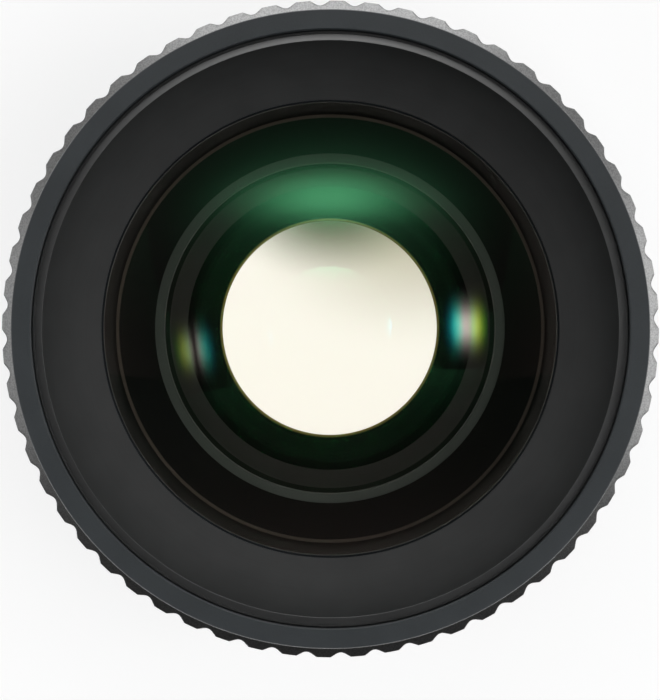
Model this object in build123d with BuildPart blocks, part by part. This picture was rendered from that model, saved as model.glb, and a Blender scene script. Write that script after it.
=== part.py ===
"""Converter lens for an action camera: millimetres, +Z along the optical axis towards the front.

The origin is the centre of the rear end face, on which the lens stands.
"""
import os
from math import cos, radians, sin, sqrt

from build123d import *

os.makedirs("parts", exist_ok=True)

# Clearances between turned pieces, measured on the radius
slip_fit = 0.02
thread_fit = 0.03
screw_fit = 0.03
edge_break = 0.3

# Overall height, from the rear end face to the front rim
total_height = 36.0

# Meniscus, its retaining ring and the spacer below it
meniscus_radius = 11.9
meniscus_front_curve_radius = 24.0
meniscus_rear_curve_radius = 13.5
meniscus_rear_land_width = 2.3
meniscus_thickness = 2.4
mid_ring_reach = 1.03
mid_ring_bearing_width = 0.63
mid_ring_thread_step = 0.6
mid_ring_height = 0.85
mid_ring_sink = 0.56
spacer_wall_at_rear = 1.8
spacer_edge_height = 1.15

# Rear glass, its cell and the stop
rear_glass_step = 1.3
rear_glass_front_curve_radius = 90.0
rear_glass_thickness = 1.6
rear_seat_width = 1.2
rear_seat_height = 0.6
rear_thread_step = 1.2
rear_cell_wall = 2.7
rear_cell_recess = 0.9
rear_cell_flange_width = 3.0
rear_cell_flange_thickness = 1.4
rear_cell_below_baffle = 0.2
stop_ring_height = 1.1
stop_radius = 7.2
stop_land_height = 0.3
stop_funnel_inset = 0.1
shim_thickness = 0.2

# Main barrel
cell_flange_play = 0.4
barrel_shoulder = 3.0
barrel_wall = 1.3
barrel_band_rise = 1.1
barrel_band_height = 4.9
barrel_band_gap = 0.1
relief_bore_depth = 2.4
relief_land_extra_height = 0.2

# Front cell, its retaining ring and gasket
front_cell_wall = 1.4
front_seat_height = 2.9
front_seat_width = 1.4
front_cell_tail_width = 1.63
front_ring_thread_step = 1.0
front_ring_thread_depth = 2.0
front_ring_reach = 1.14
front_ring_below_cell = 0.05
front_ring_thickness = 1.1
gasket_setback = 0.19
gasket_edge_margin = 0.1
gasket_gap = 0.24
spanner_slot_count = 2
spanner_slot_width = 1.4
spanner_slot_depth = 0.5

# Cemented front doublet
crown_front_curve_radius = 48.0
crown_edge_thickness = 0.875
cement_curve_radius = 62.0
flint_thickness = 2.0
glass_edge_break = 0.2

# Seal between the front cell and the barrel
seal_section_radius = 0.5
seal_groove_depth = 1.0
seal_groove_width = 1.2
seal_groove_height = 5.0

# Baffle cone
baffle_ledge_width = 0.25
baffle_rear_overhang = 0.86
baffle_wall = 0.9
baffle_foot_height = 1.0

# Grip ring with its lobes
lobe_count = 60
flute_apex_depth = 0.5
flute_half_width = 0.75
flute_valley_radius = 0.6
lobe_shoulder_radius = 0.2
first_flute_angle = 1.8
rim_wall = 2.22
rim_bore_step = 0.28
rim_bore_depth = 2.8
rim_bore_chamfer = 0.1
grip_front_chamfer = 0.7
collar_wall = 1.9
collar_height = 2.4

# Grub screws through the collar
grub_screw_count = 3
grub_screw_radius = 1.0
grub_screw_sink = 0.15
grub_socket_width = 0.9
grub_socket_depth = 0.9
first_grub_angle = 30.0
socket_sides = 6

# Dish ring
lip_groove_width = 0.28
lip_below_rim = 0.4
lip_width = 0.5
lip_rise = 0.28
dish_thread_height = 1.7
dish_skirt_depth = 2.2
dish_opening_step = 0.14
dish_edge_height = 0.35
dish_hollow = 0.6

# Rear mount
mount_thread_radius = 18.5
spigot_length = 3.6
spigot_chamfer = 0.4
thread_relief_length = 1.2
thread_relief_depth = 0.5
flange_thickness = 2.4
pilot_height = 2.6
cushion_width = 1.4
cushion_thickness = 0.8

# Mount screws
mount_screw_count = 4
mount_screw_radius = 0.8
mount_screw_head_radius = 1.5
mount_screw_length = 4.0
mount_screw_edge_distance = 1.8
mount_screw_wall = 1.6
mount_screw_hole_depth = 2.0
mount_socket_width = 1.1
mount_socket_depth = 0.5
first_mount_screw_angle = 45.0
countersink_angle = 90.0

# Radii of the rear group, inwards and outwards from the meniscus
meniscus_hollow_radius = meniscus_radius - meniscus_rear_land_width
mid_ring_opening_radius = meniscus_radius - mid_ring_reach
mid_ring_contact_radius = mid_ring_opening_radius + mid_ring_bearing_width
mid_ring_thread_radius = meniscus_radius + mid_ring_thread_step
rear_glass_radius = meniscus_radius - rear_glass_step
rear_seat_opening_radius = rear_glass_radius - rear_seat_width
rear_thread_radius = rear_seat_opening_radius + rear_thread_step
stop_funnel_radius = rear_seat_opening_radius - stop_funnel_inset
rear_cell_radius = meniscus_radius + rear_cell_wall
rear_cell_flange_radius = rear_cell_radius + rear_cell_flange_width

# Radii of the barrel, outwards from the rear cell
middle_bore_radius = rear_cell_flange_radius + cell_flange_play
relief_bore_radius = middle_bore_radius + relief_bore_depth
front_bore_radius = middle_bore_radius + barrel_shoulder
barrel_radius = front_bore_radius + barrel_wall
barrel_band_radius = barrel_radius + barrel_band_rise
mount_screw_circle_radius = barrel_band_radius - mount_screw_edge_distance
pilot_radius = mount_screw_circle_radius - mount_screw_wall

# Radii of the grip ring, outwards from the barrel
rim_bore_radius = barrel_radius + rim_bore_step
lobe_tip_radius = rim_bore_radius + rim_wall
collar_radius = barrel_radius + collar_wall

# Radii of the front group, inwards from the barrel
front_ring_thread_radius = front_bore_radius - front_cell_wall
front_glass_radius = front_ring_thread_radius - front_ring_thread_step
front_ring_opening_radius = front_glass_radius - front_ring_reach
gasket_inner_radius = front_ring_opening_radius + gasket_setback
gasket_outer_radius = front_glass_radius - gasket_edge_margin
dish_opening_radius = front_ring_opening_radius + dish_opening_step
lip_radius = rim_bore_radius - lip_groove_width
front_seat_opening_radius = front_glass_radius - front_seat_width
front_cell_tail_radius = front_seat_opening_radius - front_cell_tail_width
baffle_front_opening_radius = front_cell_tail_radius - baffle_ledge_width
baffle_rear_opening_radius = mid_ring_thread_radius - baffle_rear_overhang


def sphere_drop(curve_radius, distance):
    """How far a spherical face of this radius of curvature falls away at this distance from the axis."""
    return curve_radius - sqrt(curve_radius ** 2 - distance ** 2)


# Heights of the mount, the barrel's band and the rear cell, from the rear end face upwards
flange_bottom = spigot_length
thread_end = flange_bottom - thread_relief_length
flange_top = flange_bottom + flange_thickness
pilot_top = flange_top + pilot_height
shim_top = pilot_top + shim_thickness
cell_flange_top = shim_top + rear_cell_flange_thickness
grip_bottom = flange_top + barrel_band_height + barrel_band_gap

# Heights of the rear glasses, from the stop upwards
stop_ring_top = rear_cell_recess + stop_ring_height
rear_seat = stop_ring_top + rear_seat_height
rear_glass_vertex = rear_seat + rear_glass_thickness
rear_glass_edge = rear_glass_vertex + sphere_drop(rear_glass_front_curve_radius, rear_glass_radius)
mid_seat = rear_glass_edge + spacer_edge_height
meniscus_rear_vertex = mid_seat + sphere_drop(meniscus_rear_curve_radius, meniscus_hollow_radius)
meniscus_vertex = meniscus_rear_vertex + meniscus_thickness
mid_ring_seat = meniscus_vertex - sphere_drop(meniscus_front_curve_radius, meniscus_radius)
mid_ring_bottom = meniscus_vertex - sphere_drop(meniscus_front_curve_radius, mid_ring_contact_radius)
mid_ring_inner_edge = meniscus_vertex - sphere_drop(meniscus_front_curve_radius, mid_ring_opening_radius)
mid_ring_top = mid_ring_inner_edge + mid_ring_height
rear_cell_top = mid_ring_top + mid_ring_sink
lock_ring_top = rear_cell_top + rear_cell_below_baffle

# Heights of the front group, from the rim downwards
barrel_front = total_height - rim_bore_depth
front_cell_top = barrel_front - dish_skirt_depth
front_ring_seat = front_cell_top - front_ring_thread_depth
front_ring_top = front_cell_top - front_ring_below_cell
front_ring_bottom = front_ring_top - front_ring_thickness
crown_face_at_ring = front_ring_bottom - gasket_gap
crown_vertex = crown_face_at_ring + sphere_drop(crown_front_curve_radius, front_ring_opening_radius)
crown_face_radius = front_glass_radius - glass_edge_break
crown_edge_top = crown_vertex - sphere_drop(crown_front_curve_radius, crown_face_radius) - glass_edge_break
cement_edge = crown_edge_top - crown_edge_thickness
cement_vertex = cement_edge - sphere_drop(cement_curve_radius, front_glass_radius)
front_seat = cement_vertex - flint_thickness
front_cell_bottom = front_seat - front_seat_height


def crown_face(distance):
    """Height of the crown's front face at this distance from the axis."""
    return crown_vertex - sphere_drop(crown_front_curve_radius, distance)


def cement_face(distance):
    """Height of the cemented face at this distance from the axis."""
    return cement_vertex + sphere_drop(cement_curve_radius, distance)


def meniscus_face(distance):
    """Height of the meniscus's front face at this distance from the axis."""
    return meniscus_vertex - sphere_drop(meniscus_front_curve_radius, distance)


def meniscus_hollow(distance):
    """Height of the meniscus's rear face at this distance from the axis."""
    return meniscus_rear_vertex - sphere_drop(meniscus_rear_curve_radius, distance)


def rear_glass_face(distance):
    """Height of the rear glass's hollow front face at this distance from the axis."""
    return rear_glass_vertex + sphere_drop(rear_glass_front_curve_radius, distance)


def face_arc(face, start, end):
    """Arc along a spherical face, from one distance from the axis to another."""
    middle = (start + end) / 2
    return ThreePointArc((start, face(start)), (middle, face(middle)), (end, face(end)))


def radial_plane(angle, height):
    """Plane on the axis at this height, with its normal pointing outwards at this angle."""
    outwards = (cos(radians(angle)), sin(radians(angle)), 0)
    sideways = (-sin(radians(angle)), cos(radians(angle)), 0)
    return Plane(origin=(0, 0, height), x_dir=sideways, z_dir=outwards)


# Main barrel: the tube that carries every group
relief_land_height = baffle_foot_height + relief_land_extra_height
with BuildPart() as main_barrel:
    with BuildSketch(Plane.XZ):
        with BuildLine():
            Polyline(
                (pilot_radius + slip_fit, flange_top),
                (barrel_band_radius - edge_break, flange_top),
                (barrel_band_radius, flange_top + edge_break),
                (barrel_band_radius, grip_bottom - barrel_band_gap - edge_break),
                (barrel_band_radius - edge_break, grip_bottom - barrel_band_gap),
                (barrel_radius, grip_bottom - barrel_band_gap),
                (barrel_radius, barrel_front),
                (front_bore_radius, barrel_front),
                (front_bore_radius, front_cell_bottom),
                (middle_bore_radius, front_cell_bottom),
                (middle_bore_radius, front_cell_bottom - relief_land_height),
                (relief_bore_radius, front_cell_bottom - relief_land_height),
                (relief_bore_radius, lock_ring_top + relief_land_height),
                (middle_bore_radius, lock_ring_top + relief_land_height),
                (middle_bore_radius, pilot_top),
                (pilot_radius + slip_fit, pilot_top),
                close=True,
            )
        make_face()
    revolve(axis=Axis.Z)
    with BuildSketch(Plane.XY.offset(flange_top)):
        with PolarLocations(mount_screw_circle_radius, mount_screw_count, first_mount_screw_angle):
            Circle(mount_screw_radius + screw_fit)
    extrude(amount=mount_screw_hole_depth, mode=Mode.SUBTRACT)
main_barrel.part.label = "main_barrel"
export_step(main_barrel.part, "parts/main_barrel.step")

# One flute between two lobes: straight flanks with a rounded valley, drawn from the lobe tips inwards
with BuildSketch() as flute:
    with BuildLine():
        Polyline(
            (flute_half_width, flute_half_width),
            (0, flute_half_width),
            (-flute_apex_depth, 0),
            (0, -flute_half_width),
            (flute_half_width, -flute_half_width),
            close=True,
        )
    make_face()
    fillet(flute.vertices().sort_by(Axis.X)[0], flute_valley_radius)

# Grip ring: the lobed outline is raised first, then turned to the section of the ring
with BuildPart() as grip_ring:
    with BuildSketch(Plane.XY.offset(grip_bottom).rotated((0, 0, first_flute_angle))) as lobed_outline:
        Circle(lobe_tip_radius)
        with PolarLocations(lobe_tip_radius, lobe_count):
            add(flute.sketch, mode=Mode.SUBTRACT)
        fillet(lobed_outline.vertices().group_by(SortBy.DISTANCE)[-1], lobe_shoulder_radius)
    extrude(amount=total_height - grip_bottom)
    with BuildSketch(Plane.XZ):
        with BuildLine():
            Polyline(
                (barrel_radius + slip_fit, grip_bottom),
                (collar_radius - edge_break, grip_bottom),
                (collar_radius, grip_bottom + edge_break),
                (collar_radius, grip_bottom + collar_height),
                (lobe_tip_radius, grip_bottom + collar_height + lobe_tip_radius - collar_radius),
                (lobe_tip_radius, total_height - grip_front_chamfer),
                (lobe_tip_radius - grip_front_chamfer, total_height),
                (rim_bore_radius + rim_bore_chamfer, total_height),
                (rim_bore_radius, total_height - rim_bore_chamfer),
                (rim_bore_radius, barrel_front),
                (barrel_radius + slip_fit, barrel_front),
                close=True,
            )
        make_face()
    revolve(axis=Axis.Z, mode=Mode.INTERSECT)
    grub_planes = [
        radial_plane(first_grub_angle + index * 360 / grub_screw_count, grip_bottom + collar_height / 2)
        for index in range(grub_screw_count)
    ]
    with BuildSketch(*[plane.offset(barrel_radius) for plane in grub_planes]):
        Circle(grub_screw_radius + screw_fit)
    extrude(amount=lobe_tip_radius - barrel_radius, mode=Mode.SUBTRACT)
grip_ring.part.label = "grip_ring"
export_step(grip_ring.part, "parts/grip_ring.step")

# Grub screws: they lock the grip ring on the barrel
grub_screw_length = collar_radius - barrel_radius - grub_screw_sink
with BuildPart() as grub_screws:
    with BuildSketch(*[plane.offset(barrel_radius) for plane in grub_planes]):
        Circle(grub_screw_radius)
    extrude(amount=grub_screw_length)
    with BuildSketch(*[plane.offset(barrel_radius + grub_screw_length) for plane in grub_planes]):
        RegularPolygon(grub_socket_width / 2, socket_sides, major_radius=False)
    extrude(amount=-grub_socket_depth, mode=Mode.SUBTRACT)
grub_screws.part.label = "grub_screws"
export_step(grub_screws.part, "parts/grub_screws.step")

# Dish ring: screwed into the rim's bore, it holds the front cell down
lip_bottom = total_height - lip_below_rim - lip_rise
lip_top = total_height - lip_below_rim
with BuildPart() as dish_ring:
    with BuildSketch(Plane.XZ):
        with BuildLine():
            outside = Polyline(
                (dish_opening_radius, front_cell_top + dish_edge_height),
                (dish_opening_radius, front_cell_top),
                (front_bore_radius - thread_fit, front_cell_top),
                (front_bore_radius - thread_fit, barrel_front),
                (rim_bore_radius - thread_fit, barrel_front),
                (rim_bore_radius - thread_fit, barrel_front + dish_thread_height),
                (lip_radius, barrel_front + dish_thread_height),
                (lip_radius, lip_bottom),
                (lip_radius - lip_width, lip_top),
            )
            SagittaArc(outside @ 1, outside @ 0, -dish_hollow)
        make_face()
    revolve(axis=Axis.Z)
dish_ring.part.label = "dish_ring"
export_step(dish_ring.part, "parts/dish_ring.step")

# Front crown element: the large coated front glass
with BuildPart() as front_crown_element:
    with BuildSketch(Plane.XZ):
        with BuildLine():
            front_face = face_arc(crown_face, 0, crown_face_radius)
            rear_face = face_arc(cement_face, front_glass_radius, 0)
            Polyline(front_face @ 1, (front_glass_radius, crown_edge_top), rear_face @ 0)
            Line(rear_face @ 1, front_face @ 0)
        make_face()
    revolve(axis=Axis.Z)
front_crown_element.part.label = "front_crown_element"
export_step(front_crown_element.part, "parts/front_crown_element.step")

# Front flint element: cemented behind the crown, with a flat rear face
with BuildPart() as front_flint_element:
    with BuildSketch(Plane.XZ):
        with BuildLine():
            cemented = face_arc(cement_face, 0, front_glass_radius)
            Polyline(
                cemented @ 1,
                (front_glass_radius, front_seat + glass_edge_break),
                (front_glass_radius - glass_edge_break, front_seat),
                (0, front_seat),
                cemented @ 0,
            )
        make_face()
    revolve(axis=Axis.Z)
front_flint_element.part.label = "front_flint_element"
export_step(front_flint_element.part, "parts/front_flint_element.step")

# Front cell: holds the doublet, with a groove for the seal on its outside
seal_groove_bottom = front_cell_bottom + seal_groove_height
seal_groove_floor = front_bore_radius - slip_fit - seal_groove_depth
with BuildPart() as front_cell:
    with BuildSketch(Plane.XZ):
        with BuildLine():
            Polyline(
                (front_cell_tail_radius, front_cell_bottom),
                (front_bore_radius - slip_fit, front_cell_bottom),
                (front_bore_radius - slip_fit, seal_groove_bottom),
                (seal_groove_floor, seal_groove_bottom),
                (seal_groove_floor, seal_groove_bottom + seal_groove_width),
                (front_bore_radius - slip_fit, seal_groove_bottom + seal_groove_width),
                (front_bore_radius - slip_fit, front_cell_top),
                (front_ring_thread_radius, front_cell_top),
                (front_ring_thread_radius, front_ring_seat),
                (front_glass_radius + slip_fit, front_ring_seat),
                (front_glass_radius + slip_fit, front_seat),
                (front_seat_opening_radius, front_seat),
                close=True,
            )
        make_face()
    revolve(axis=Axis.Z)
front_cell.part.label = "front_cell"
export_step(front_cell.part, "parts/front_cell.step")

# Cell seal ring: round rubber section in the groove of the front cell
with BuildPart() as cell_seal_ring:
    with BuildSketch(Plane.XZ):
        with Locations((seal_groove_floor + seal_section_radius, seal_groove_bottom + seal_groove_width / 2)):
            Circle(seal_section_radius)
    revolve(axis=Axis.Z)
cell_seal_ring.part.label = "cell_seal_ring"
export_step(cell_seal_ring.part, "parts/cell_seal_ring.step")

# Front gasket: thin rubber ring on the edge of the front glass
with BuildPart() as front_gasket:
    with BuildSketch(Plane.XZ):
        with BuildLine():
            on_glass = face_arc(crown_face, gasket_inner_radius, gasket_outer_radius)
            Polyline(
                on_glass @ 1,
                (gasket_outer_radius, front_ring_bottom),
                (gasket_inner_radius, front_ring_bottom),
                on_glass @ 0,
            )
        make_face()
    revolve(axis=Axis.Z)
front_gasket.part.label = "front_gasket"
export_step(front_gasket.part, "parts/front_gasket.step")

# Front retaining ring: its inner edge is the thin dark band inside the dish
with BuildPart() as front_retaining_ring:
    with BuildSketch(Plane.XY.offset(front_ring_bottom)):
        Circle(front_ring_thread_radius - thread_fit)
        Circle(front_ring_opening_radius, mode=Mode.SUBTRACT)
    extrude(amount=front_ring_thickness)
    with BuildSketch(Plane.XY.offset(front_ring_top)):
        with PolarLocations(front_ring_thread_radius, spanner_slot_count):
            Rectangle(front_ring_thread_radius - dish_opening_radius, spanner_slot_width)
    extrude(amount=-spanner_slot_depth, mode=Mode.SUBTRACT)
front_retaining_ring.part.label = "front_retaining_ring"
export_step(front_retaining_ring.part, "parts/front_retaining_ring.step")

# Baffle cone: black funnel from the front cell to the rear cell, with a foot at each end
baffle_radius = middle_bore_radius - slip_fit
baffle_lean = (baffle_front_opening_radius - baffle_rear_opening_radius) / (front_cell_bottom - lock_ring_top)
with BuildPart() as baffle_cone:
    with BuildSketch(Plane.XZ):
        with BuildLine():
            Polyline(
                (baffle_rear_opening_radius, lock_ring_top),
                (baffle_radius, lock_ring_top),
                (baffle_radius, lock_ring_top + baffle_foot_height),
                (
                    baffle_rear_opening_radius + baffle_wall + baffle_lean * baffle_foot_height,
                    lock_ring_top + baffle_foot_height,
                ),
                (
                    baffle_front_opening_radius + baffle_wall - baffle_lean * baffle_foot_height,
                    front_cell_bottom - baffle_foot_height,
                ),
                (baffle_radius, front_cell_bottom - baffle_foot_height),
                (baffle_radius, front_cell_bottom),
                (baffle_front_opening_radius, front_cell_bottom),
                close=True,
            )
        make_face()
    revolve(axis=Axis.Z)
baffle_cone.part.label = "baffle_cone"
export_step(baffle_cone.part, "parts/baffle_cone.step")

# Mid element: a meniscus with a ground flat round its hollow rear face
with BuildPart() as mid_element:
    with BuildSketch(Plane.XZ):
        with BuildLine():
            bulge = face_arc(meniscus_face, 0, meniscus_radius - glass_edge_break)
            hollow = face_arc(meniscus_hollow, meniscus_hollow_radius, 0)
            Polyline(
                bulge @ 1,
                (meniscus_radius, (bulge @ 1).Y - glass_edge_break),
                (meniscus_radius, mid_seat),
                hollow @ 0,
            )
            Line(hollow @ 1, bulge @ 0)
        make_face()
    revolve(axis=Axis.Z)
mid_element.part.label = "mid_element"
export_step(mid_element.part, "parts/mid_element.step")

# Mid retaining ring: the grey-green ring, bearing on the meniscus's front face
with BuildPart() as mid_retaining_ring:
    with BuildSketch(Plane.XZ):
        with BuildLine():
            bearing = face_arc(meniscus_face, mid_ring_opening_radius, mid_ring_contact_radius)
            Polyline(
                bearing @ 1,
                (mid_ring_thread_radius - thread_fit, mid_ring_bottom),
                (mid_ring_thread_radius - thread_fit, mid_ring_top),
                (mid_ring_opening_radius, mid_ring_top),
                bearing @ 0,
            )
        make_face()
    revolve(axis=Axis.Z)
mid_retaining_ring.part.label = "mid_retaining_ring"
export_step(mid_retaining_ring.part, "parts/mid_retaining_ring.step")

# Mid spacer: conical ring between the two rear glasses
spacer_rear_radius = rear_glass_radius - spacer_wall_at_rear
with BuildPart() as mid_spacer:
    with BuildSketch(Plane.XZ):
        with BuildLine():
            on_rear_glass = face_arc(rear_glass_face, spacer_rear_radius, rear_glass_radius)
            Polyline(
                on_rear_glass @ 1,
                (rear_glass_radius, mid_seat),
                (meniscus_hollow_radius, mid_seat),
                on_rear_glass @ 0,
            )
        make_face()
    revolve(axis=Axis.Z)
mid_spacer.part.label = "mid_spacer"
export_step(mid_spacer.part, "parts/mid_spacer.step")

# Rear element: hollow front face, flat rear face
with BuildPart() as rear_element:
    with BuildSketch(Plane.XZ):
        with BuildLine():
            hollow_face = face_arc(rear_glass_face, 0, rear_glass_radius)
            Polyline(hollow_face @ 1, (rear_glass_radius, rear_seat), (0, rear_seat), hollow_face @ 0)
        make_face()
    revolve(axis=Axis.Z)
rear_element.part.label = "rear_element"
export_step(rear_element.part, "parts/rear_element.step")

# Rear cell: holds the meniscus, the spacer and the rear glass
with BuildPart() as rear_cell:
    with BuildSketch(Plane.XZ):
        with BuildLine():
            Polyline(
                (rear_thread_radius, rear_cell_recess),
                (rear_cell_radius, rear_cell_recess),
                (rear_cell_radius, shim_top),
                (rear_cell_flange_radius, shim_top),
                (rear_cell_flange_radius, cell_flange_top),
                (rear_cell_radius, cell_flange_top),
                (rear_cell_radius, rear_cell_top),
                (mid_ring_thread_radius, rear_cell_top),
                (mid_ring_thread_radius, mid_ring_seat),
                (meniscus_radius + slip_fit, mid_ring_seat),
                (meniscus_radius + slip_fit, mid_seat),
                (rear_glass_radius + slip_fit, mid_seat),
                (rear_glass_radius + slip_fit, rear_seat),
                (rear_seat_opening_radius, rear_seat),
                (rear_seat_opening_radius, stop_ring_top),
                (rear_thread_radius, stop_ring_top),
                close=True,
            )
        make_face()
    revolve(axis=Axis.Z)
rear_cell.part.label = "rear_cell"
export_step(rear_cell.part, "parts/rear_cell.step")

# Rear stop ring: its opening is the clear aperture
stop_ring_radius = rear_thread_radius - thread_fit
with BuildPart() as rear_stop_ring:
    with BuildSketch(Plane.XZ):
        with BuildLine():
            Polyline(
                (stop_radius, rear_cell_recess),
                (stop_ring_radius, rear_cell_recess),
                (stop_ring_radius, stop_ring_top),
                (stop_funnel_radius, stop_ring_top),
                (stop_radius, rear_cell_recess + stop_land_height),
                close=True,
            )
        make_face()
    revolve(axis=Axis.Z)
    with BuildSketch(Plane.XY.offset(rear_cell_recess)):
        with PolarLocations(stop_ring_radius, spanner_slot_count):
            Rectangle(2 * (stop_ring_radius - stop_funnel_radius), spanner_slot_width)
    extrude(amount=spanner_slot_depth, mode=Mode.SUBTRACT)
rear_stop_ring.part.label = "rear_stop_ring"
export_step(rear_stop_ring.part, "parts/rear_stop_ring.step")

# Focus shim: thin ring between the rear cell and the mount
with BuildPart() as focus_shim:
    with BuildSketch(Plane.XY.offset(pilot_top)):
        Circle(rear_cell_flange_radius)
        Circle(rear_cell_radius + slip_fit, mode=Mode.SUBTRACT)
    extrude(amount=shim_thickness)
focus_shim.part.label = "focus_shim"
export_step(focus_shim.part, "parts/focus_shim.step")

# Cell lock ring: clamps the flange of the rear cell
lock_ring_radius = middle_bore_radius - thread_fit
with BuildPart() as cell_lock_ring:
    with BuildSketch(Plane.XY.offset(cell_flange_top)):
        Circle(lock_ring_radius)
        Circle(rear_cell_radius + screw_fit, mode=Mode.SUBTRACT)
    extrude(amount=lock_ring_top - cell_flange_top)
    with BuildSketch(Plane.XY.offset(lock_ring_top)):
        with PolarLocations(rear_cell_radius, spanner_slot_count):
            Rectangle(2 * (rear_cell_flange_radius - rear_cell_radius), spanner_slot_width)
    extrude(amount=-spanner_slot_depth, mode=Mode.SUBTRACT)
cell_lock_ring.part.label = "cell_lock_ring"
export_step(cell_lock_ring.part, "parts/cell_lock_ring.step")

# Mount adapter: flange, pilot and threaded spigot, with a relief groove at the thread's foot
mount_bore_radius = rear_cell_radius + slip_fit
rear_view = Plane(origin=(0, 0, flange_bottom), x_dir=(1, 0, 0), z_dir=(0, 0, -1))
with BuildPart() as mount_adapter:
    with BuildSketch(Plane.XZ):
        with BuildLine():
            Polyline(
                (mount_bore_radius, 0),
                (mount_thread_radius - spigot_chamfer, 0),
                (mount_thread_radius, spigot_chamfer),
                (mount_thread_radius, thread_end),
                (mount_thread_radius - thread_relief_depth, thread_end),
                (mount_thread_radius - thread_relief_depth, flange_bottom),
                (barrel_band_radius - edge_break, flange_bottom),
                (barrel_band_radius, flange_bottom + edge_break),
                (barrel_band_radius, flange_top - edge_break),
                (barrel_band_radius - edge_break, flange_top),
                (pilot_radius, flange_top),
                (pilot_radius, pilot_top),
                (mount_bore_radius, pilot_top),
                close=True,
            )
        make_face()
    revolve(axis=Axis.Z)
    with Locations(rear_view):
        with PolarLocations(mount_screw_circle_radius, mount_screw_count, first_mount_screw_angle):
            CounterSinkHole(
                mount_screw_radius + screw_fit,
                mount_screw_head_radius + screw_fit,
                depth=flange_thickness,
                counter_sink_angle=countersink_angle,
            )
mount_adapter.part.label = "mount_adapter"
export_step(mount_adapter.part, "parts/mount_adapter.step")

# Mount screws: countersunk, through the flange into the barrel
with BuildPart(rear_view) as mount_screws:
    with PolarLocations(mount_screw_circle_radius, mount_screw_count, first_mount_screw_angle):
        Cylinder(mount_screw_radius, mount_screw_length, align=(Align.CENTER, Align.CENTER, Align.MAX))
        Cone(
            mount_screw_radius,
            mount_screw_head_radius,
            mount_screw_head_radius - mount_screw_radius,
            align=(Align.CENTER, Align.CENTER, Align.MAX),
        )
    with BuildSketch(rear_view):
        with PolarLocations(mount_screw_circle_radius, mount_screw_count, first_mount_screw_angle):
            RegularPolygon(mount_socket_width / 2, socket_sides, major_radius=False)
    extrude(amount=-mount_socket_depth, mode=Mode.SUBTRACT)
mount_screws.part.label = "mount_screws"
export_step(mount_screws.part, "parts/mount_screws.step")

# Mount cushion ring: rubber washer in the relief groove at the foot of the thread
with BuildPart() as mount_cushion_ring:
    with BuildSketch(Plane.XY.offset(flange_bottom - cushion_thickness)):
        Circle(mount_thread_radius + cushion_width)
        Circle(mount_thread_radius - thread_relief_depth + slip_fit, mode=Mode.SUBTRACT)
    extrude(amount=cushion_thickness)
mount_cushion_ring.part.label = "mount_cushion_ring"
export_step(mount_cushion_ring.part, "parts/mount_cushion_ring.step")
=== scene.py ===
"""Looks of a converter lens: turned and lobed metal, coated glass and a plain pale stage.

Everything is in metres, with +Z along the optical axis towards the front and the origin at the rear end face.
"""
from math import atan, cos, pi, radians, sin, sqrt, tan

import bmesh
import bpy
from bpy.props import FloatProperty, FloatVectorProperty, IntProperty, PointerProperty
from mathutils import Matrix, Vector


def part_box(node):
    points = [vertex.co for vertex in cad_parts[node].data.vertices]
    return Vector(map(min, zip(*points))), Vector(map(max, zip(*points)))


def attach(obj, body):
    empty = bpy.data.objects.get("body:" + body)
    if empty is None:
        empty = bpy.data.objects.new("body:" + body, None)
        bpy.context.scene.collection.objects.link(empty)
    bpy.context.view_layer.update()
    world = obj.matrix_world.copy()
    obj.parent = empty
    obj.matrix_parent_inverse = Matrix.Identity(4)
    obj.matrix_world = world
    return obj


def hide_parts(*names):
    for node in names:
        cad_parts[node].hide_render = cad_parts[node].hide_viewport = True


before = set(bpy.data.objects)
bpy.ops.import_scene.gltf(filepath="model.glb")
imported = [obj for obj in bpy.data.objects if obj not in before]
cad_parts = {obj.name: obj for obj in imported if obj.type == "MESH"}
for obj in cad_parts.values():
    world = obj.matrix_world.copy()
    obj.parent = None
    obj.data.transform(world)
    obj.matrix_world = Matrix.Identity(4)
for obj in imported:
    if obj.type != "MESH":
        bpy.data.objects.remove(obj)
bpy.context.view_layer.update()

bl_info = {
    "name": "Converter lens",
    "version": (1, 0, 0),
    "blender": (4, 5, 0),
    "location": "View3D > Sidebar > Converter lens",
    "description": "Builds the finished surfaces of a converter lens round its fixed frame",
    "category": "Object",
}

MM = 0.001
BODY = "root"
RIM = Vector((0, 0, 36 * MM))
ROUND_STEPS = 4
ARC_STEPS = 48
SEAT_STEPS = 8
BEVEL_STEPS = 9
SHARP_ANGLE = radians(32)
STRAIGHT_ANGLE = radians(172)
BELL_BASE = 2.718
FRONT_INDEX = 1.556
REAR_INDEX = 1.52
METAL_INDEX = 1.6
PAINT_INDEX = 1.7
FRONT_GLASS_BODY = (0.985, 1.0, 0.97)
REAR_GLASS_BODY = (0.99, 1.0, 0.97)
LAMP_SHARE = (0.9, 0.95, 0.9, 1.0)
WHITE = (1.0, 1.0, 1.0)
FLOOR_RADIUS = 1.3
FLOOR_COVE = 0.15
FLOOR_WALL = 0.3
KEY_DISTANCE = 0.45
KEY_SIZE = (0.7, 0.4)
STRIP_SIZE = (0.14, 0.09)
PANEL_DISTANCE = 0.5
PANEL_HEIGHT = 0.2
OVERHEAD_PLACE = (0.2, 0.15, 1.1)
OVERHEAD_SIZE = 0.9


def reach(node):
    """Outer radius of a node."""
    return max(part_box(node)[1][:2])


def bottom(node):
    """Height of a node's lowest point."""
    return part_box(node)[0][2]


def top(node):
    """Height of a node's highest point."""
    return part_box(node)[1][2]


def extent(node):
    """Outer radius of a node, and the heights of its lowest and highest points."""
    return reach(node), bottom(node), top(node)


def size(name, description, default):
    """A length that a user can change."""
    return FloatProperty(name=name, description=description, default=default, unit="LENGTH", precision=5)


def level(name, description, default):
    """A plain number that a user can change."""
    return FloatProperty(name=name, description=description, default=default)


def turn(name, description, default):
    """An angle that a user can change."""
    return FloatProperty(name=name, description=description, default=radians(default), subtype="ANGLE")


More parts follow.
